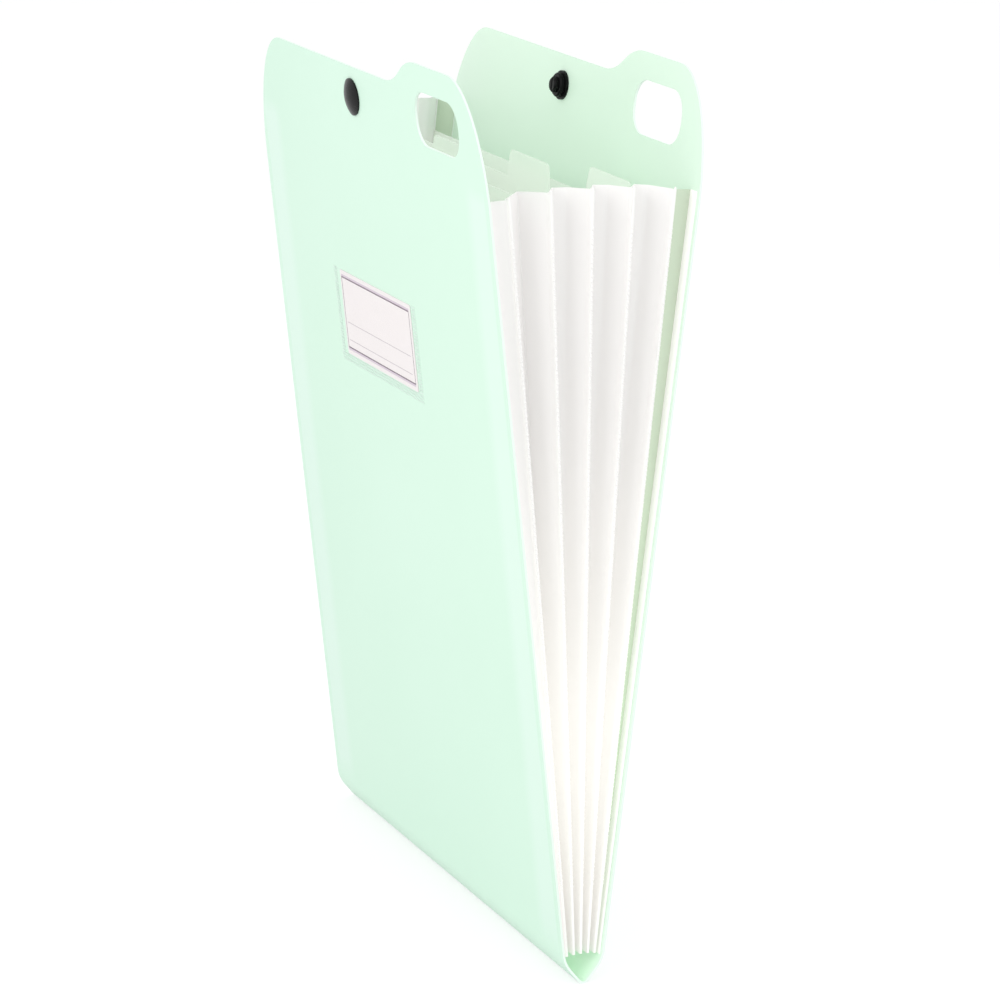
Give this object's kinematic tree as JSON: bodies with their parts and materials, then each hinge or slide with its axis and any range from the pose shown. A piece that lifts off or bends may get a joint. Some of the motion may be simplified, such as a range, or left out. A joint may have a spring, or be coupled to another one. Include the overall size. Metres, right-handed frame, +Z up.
{
  "type": "expanding document file",
  "caption": "Portrait expanding file of translucent plastic sheet with pleated sides, index tabs, hand holes, a press snap and a label pocket, standing open.",
  "frame": {"origin": "middle of the fold line at the foot of the file, on the surface it stands on", "axes": "+X along the fold towards the hand holes, -Y towards the front cover, +Z up, from the fold to the mouth"},
  "size_m": [0.25, 0.0976, 0.3567],
  "materials": {
    "cover_sheet": "fine frosted, translucent green polypropylene sheet",
    "divider_sheet": "thin frosted, translucent polypropylene sheet",
    "gusset_film": "milky white polypropylene film",
    "label_film": "clear glossy film",
    "label_card": "smooth printed card",
    "snap_plastic": "polished black"
  },
  "bodies": {
    "back": {"back_cover": "cover_sheet", "back_snap_cap": "snap_plastic", "snap_stud": "snap_plastic"},
    "divider_5": {"divider_5": "divider_sheet", "right_gusset_6": "gusset_film", "left_gusset_6": "gusset_film"},
    "divider_4": {"divider_4": "divider_sheet", "right_gusset_5": "gusset_film", "left_gusset_5": "gusset_film"},
    "divider_3": {"divider_3": "divider_sheet", "right_gusset_4": "gusset_film", "left_gusset_4": "gusset_film"},
    "divider_2": {"divider_2": "divider_sheet", "right_gusset_3": "gusset_film", "left_gusset_3": "gusset_film"},
    "divider_1": {"divider_1": "divider_sheet", "right_gusset_2": "gusset_film", "left_gusset_2": "gusset_film"},
    "front": {"front_cover": "cover_sheet", "front_snap_cap": "snap_plastic", "snap_socket": "snap_plastic", "label_pocket": "label_film", "right_gusset_1": "gusset_film", "left_gusset_1": "gusset_film"},
    "card": {"label_card": "label_card"}
  },
  "joints": [
    {"name": "pocket_6_fold", "type": "hinge", "parent": "back", "child": "divider_5", "pos_m": [0, 0, 0], "axis": [1, 0, 0], "range_deg": [-1.39, 1.05], "deforming": ["right_gusset_6", "left_gusset_6"]},
    {"name": "pocket_5_fold", "type": "hinge", "parent": "divider_5", "child": "divider_4", "pos_m": [0, 0, 0], "axis": [1, 0, 0], "range_deg": [-2.84, 2.15], "deforming": ["right_gusset_5", "left_gusset_5"]},
    {"name": "pocket_4_fold", "type": "hinge", "parent": "divider_4", "child": "divider_3", "pos_m": [0, 0, 0], "axis": [1, 0, 0], "range_deg": [-2.84, 2.15], "deforming": ["right_gusset_4", "left_gusset_4"]},
    {"name": "pocket_3_fold", "type": "hinge", "parent": "divider_3", "child": "divider_2", "pos_m": [0, 0, 0], "axis": [1, 0, 0], "range_deg": [-2.84, 2.15], "deforming": ["right_gusset_3", "left_gusset_3"]},
    {"name": "pocket_2_fold", "type": "hinge", "parent": "divider_2", "child": "divider_1", "pos_m": [0, 0, 0], "axis": [1, 0, 0], "range_deg": [-2.84, 2.15], "deforming": ["right_gusset_2", "left_gusset_2"]},
    {"name": "pocket_1_fold", "type": "hinge", "parent": "divider_1", "child": "front", "pos_m": [0, 0, 0], "axis": [1, 0, 0], "range_deg": [-1.39, 1.05], "deforming": ["right_gusset_1", "left_gusset_1"]},
    {"name": "label_card_slide", "type": "slide", "parent": "front", "child": "card", "axis": [0, -0.1149, 0.9934], "range_m": [0, 0.036]}
  ],
  "couplings": [
    {"joint": "pocket_6_fold", "follows": "pocket_5_fold", "ratio": 0.4906},
    {"joint": "pocket_4_fold", "follows": "pocket_5_fold", "ratio": 1},
    {"joint": "pocket_3_fold", "follows": "pocket_5_fold", "ratio": 1},
    {"joint": "pocket_2_fold", "follows": "pocket_5_fold", "ratio": 1},
    {"joint": "pocket_1_fold", "follows": "pocket_5_fold", "ratio": 0.4906}
  ]
}
